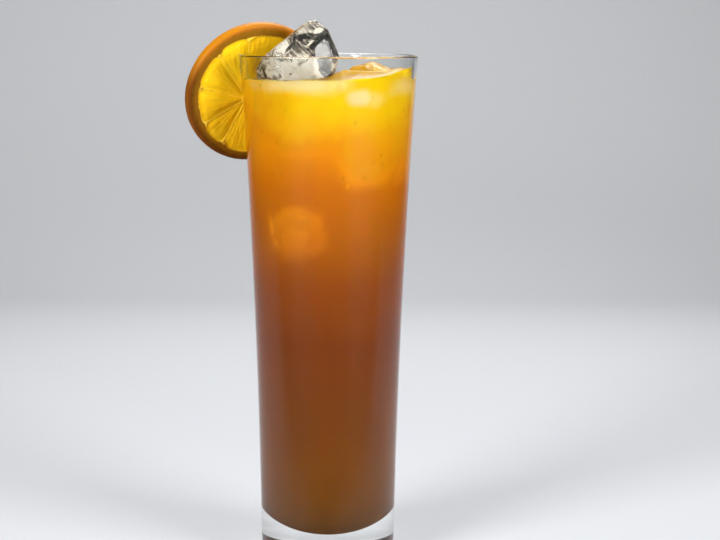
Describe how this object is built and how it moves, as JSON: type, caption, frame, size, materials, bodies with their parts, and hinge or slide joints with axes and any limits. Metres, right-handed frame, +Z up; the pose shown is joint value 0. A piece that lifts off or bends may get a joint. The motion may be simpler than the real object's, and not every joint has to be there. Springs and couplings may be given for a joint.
{
  "type": "glass of citrus tonic",
  "caption": "Tall flared glass of cloudy yuzu tonic with ice standing out of the drink and a citrus wheel slit and hung on the rim; stands upright on its foot.",
  "frame": {"origin": "centre of the foot's ring, on the surface the glass stands on", "axes": "+Z up along the glass's axis; the citrus wheel hangs at the -X side of the rim with its cut face towards -Y, the front"},
  "size_m": [0.084, 0.0638, 0.1965],
  "materials": {
    "glass": "clear, polished",
    "drink": "cloudy juice, yellow at the top to amber below",
    "citrus": "wet pulp with orange rind",
    "ice": "clear ice, wet"
  },
  "bodies": {
    "root": {"glass": "glass", "drink": "drink", "citrus_wheel": "citrus", "ice_chunk": "ice", "ice_lump": "ice"}
  },
  "joints": []
}
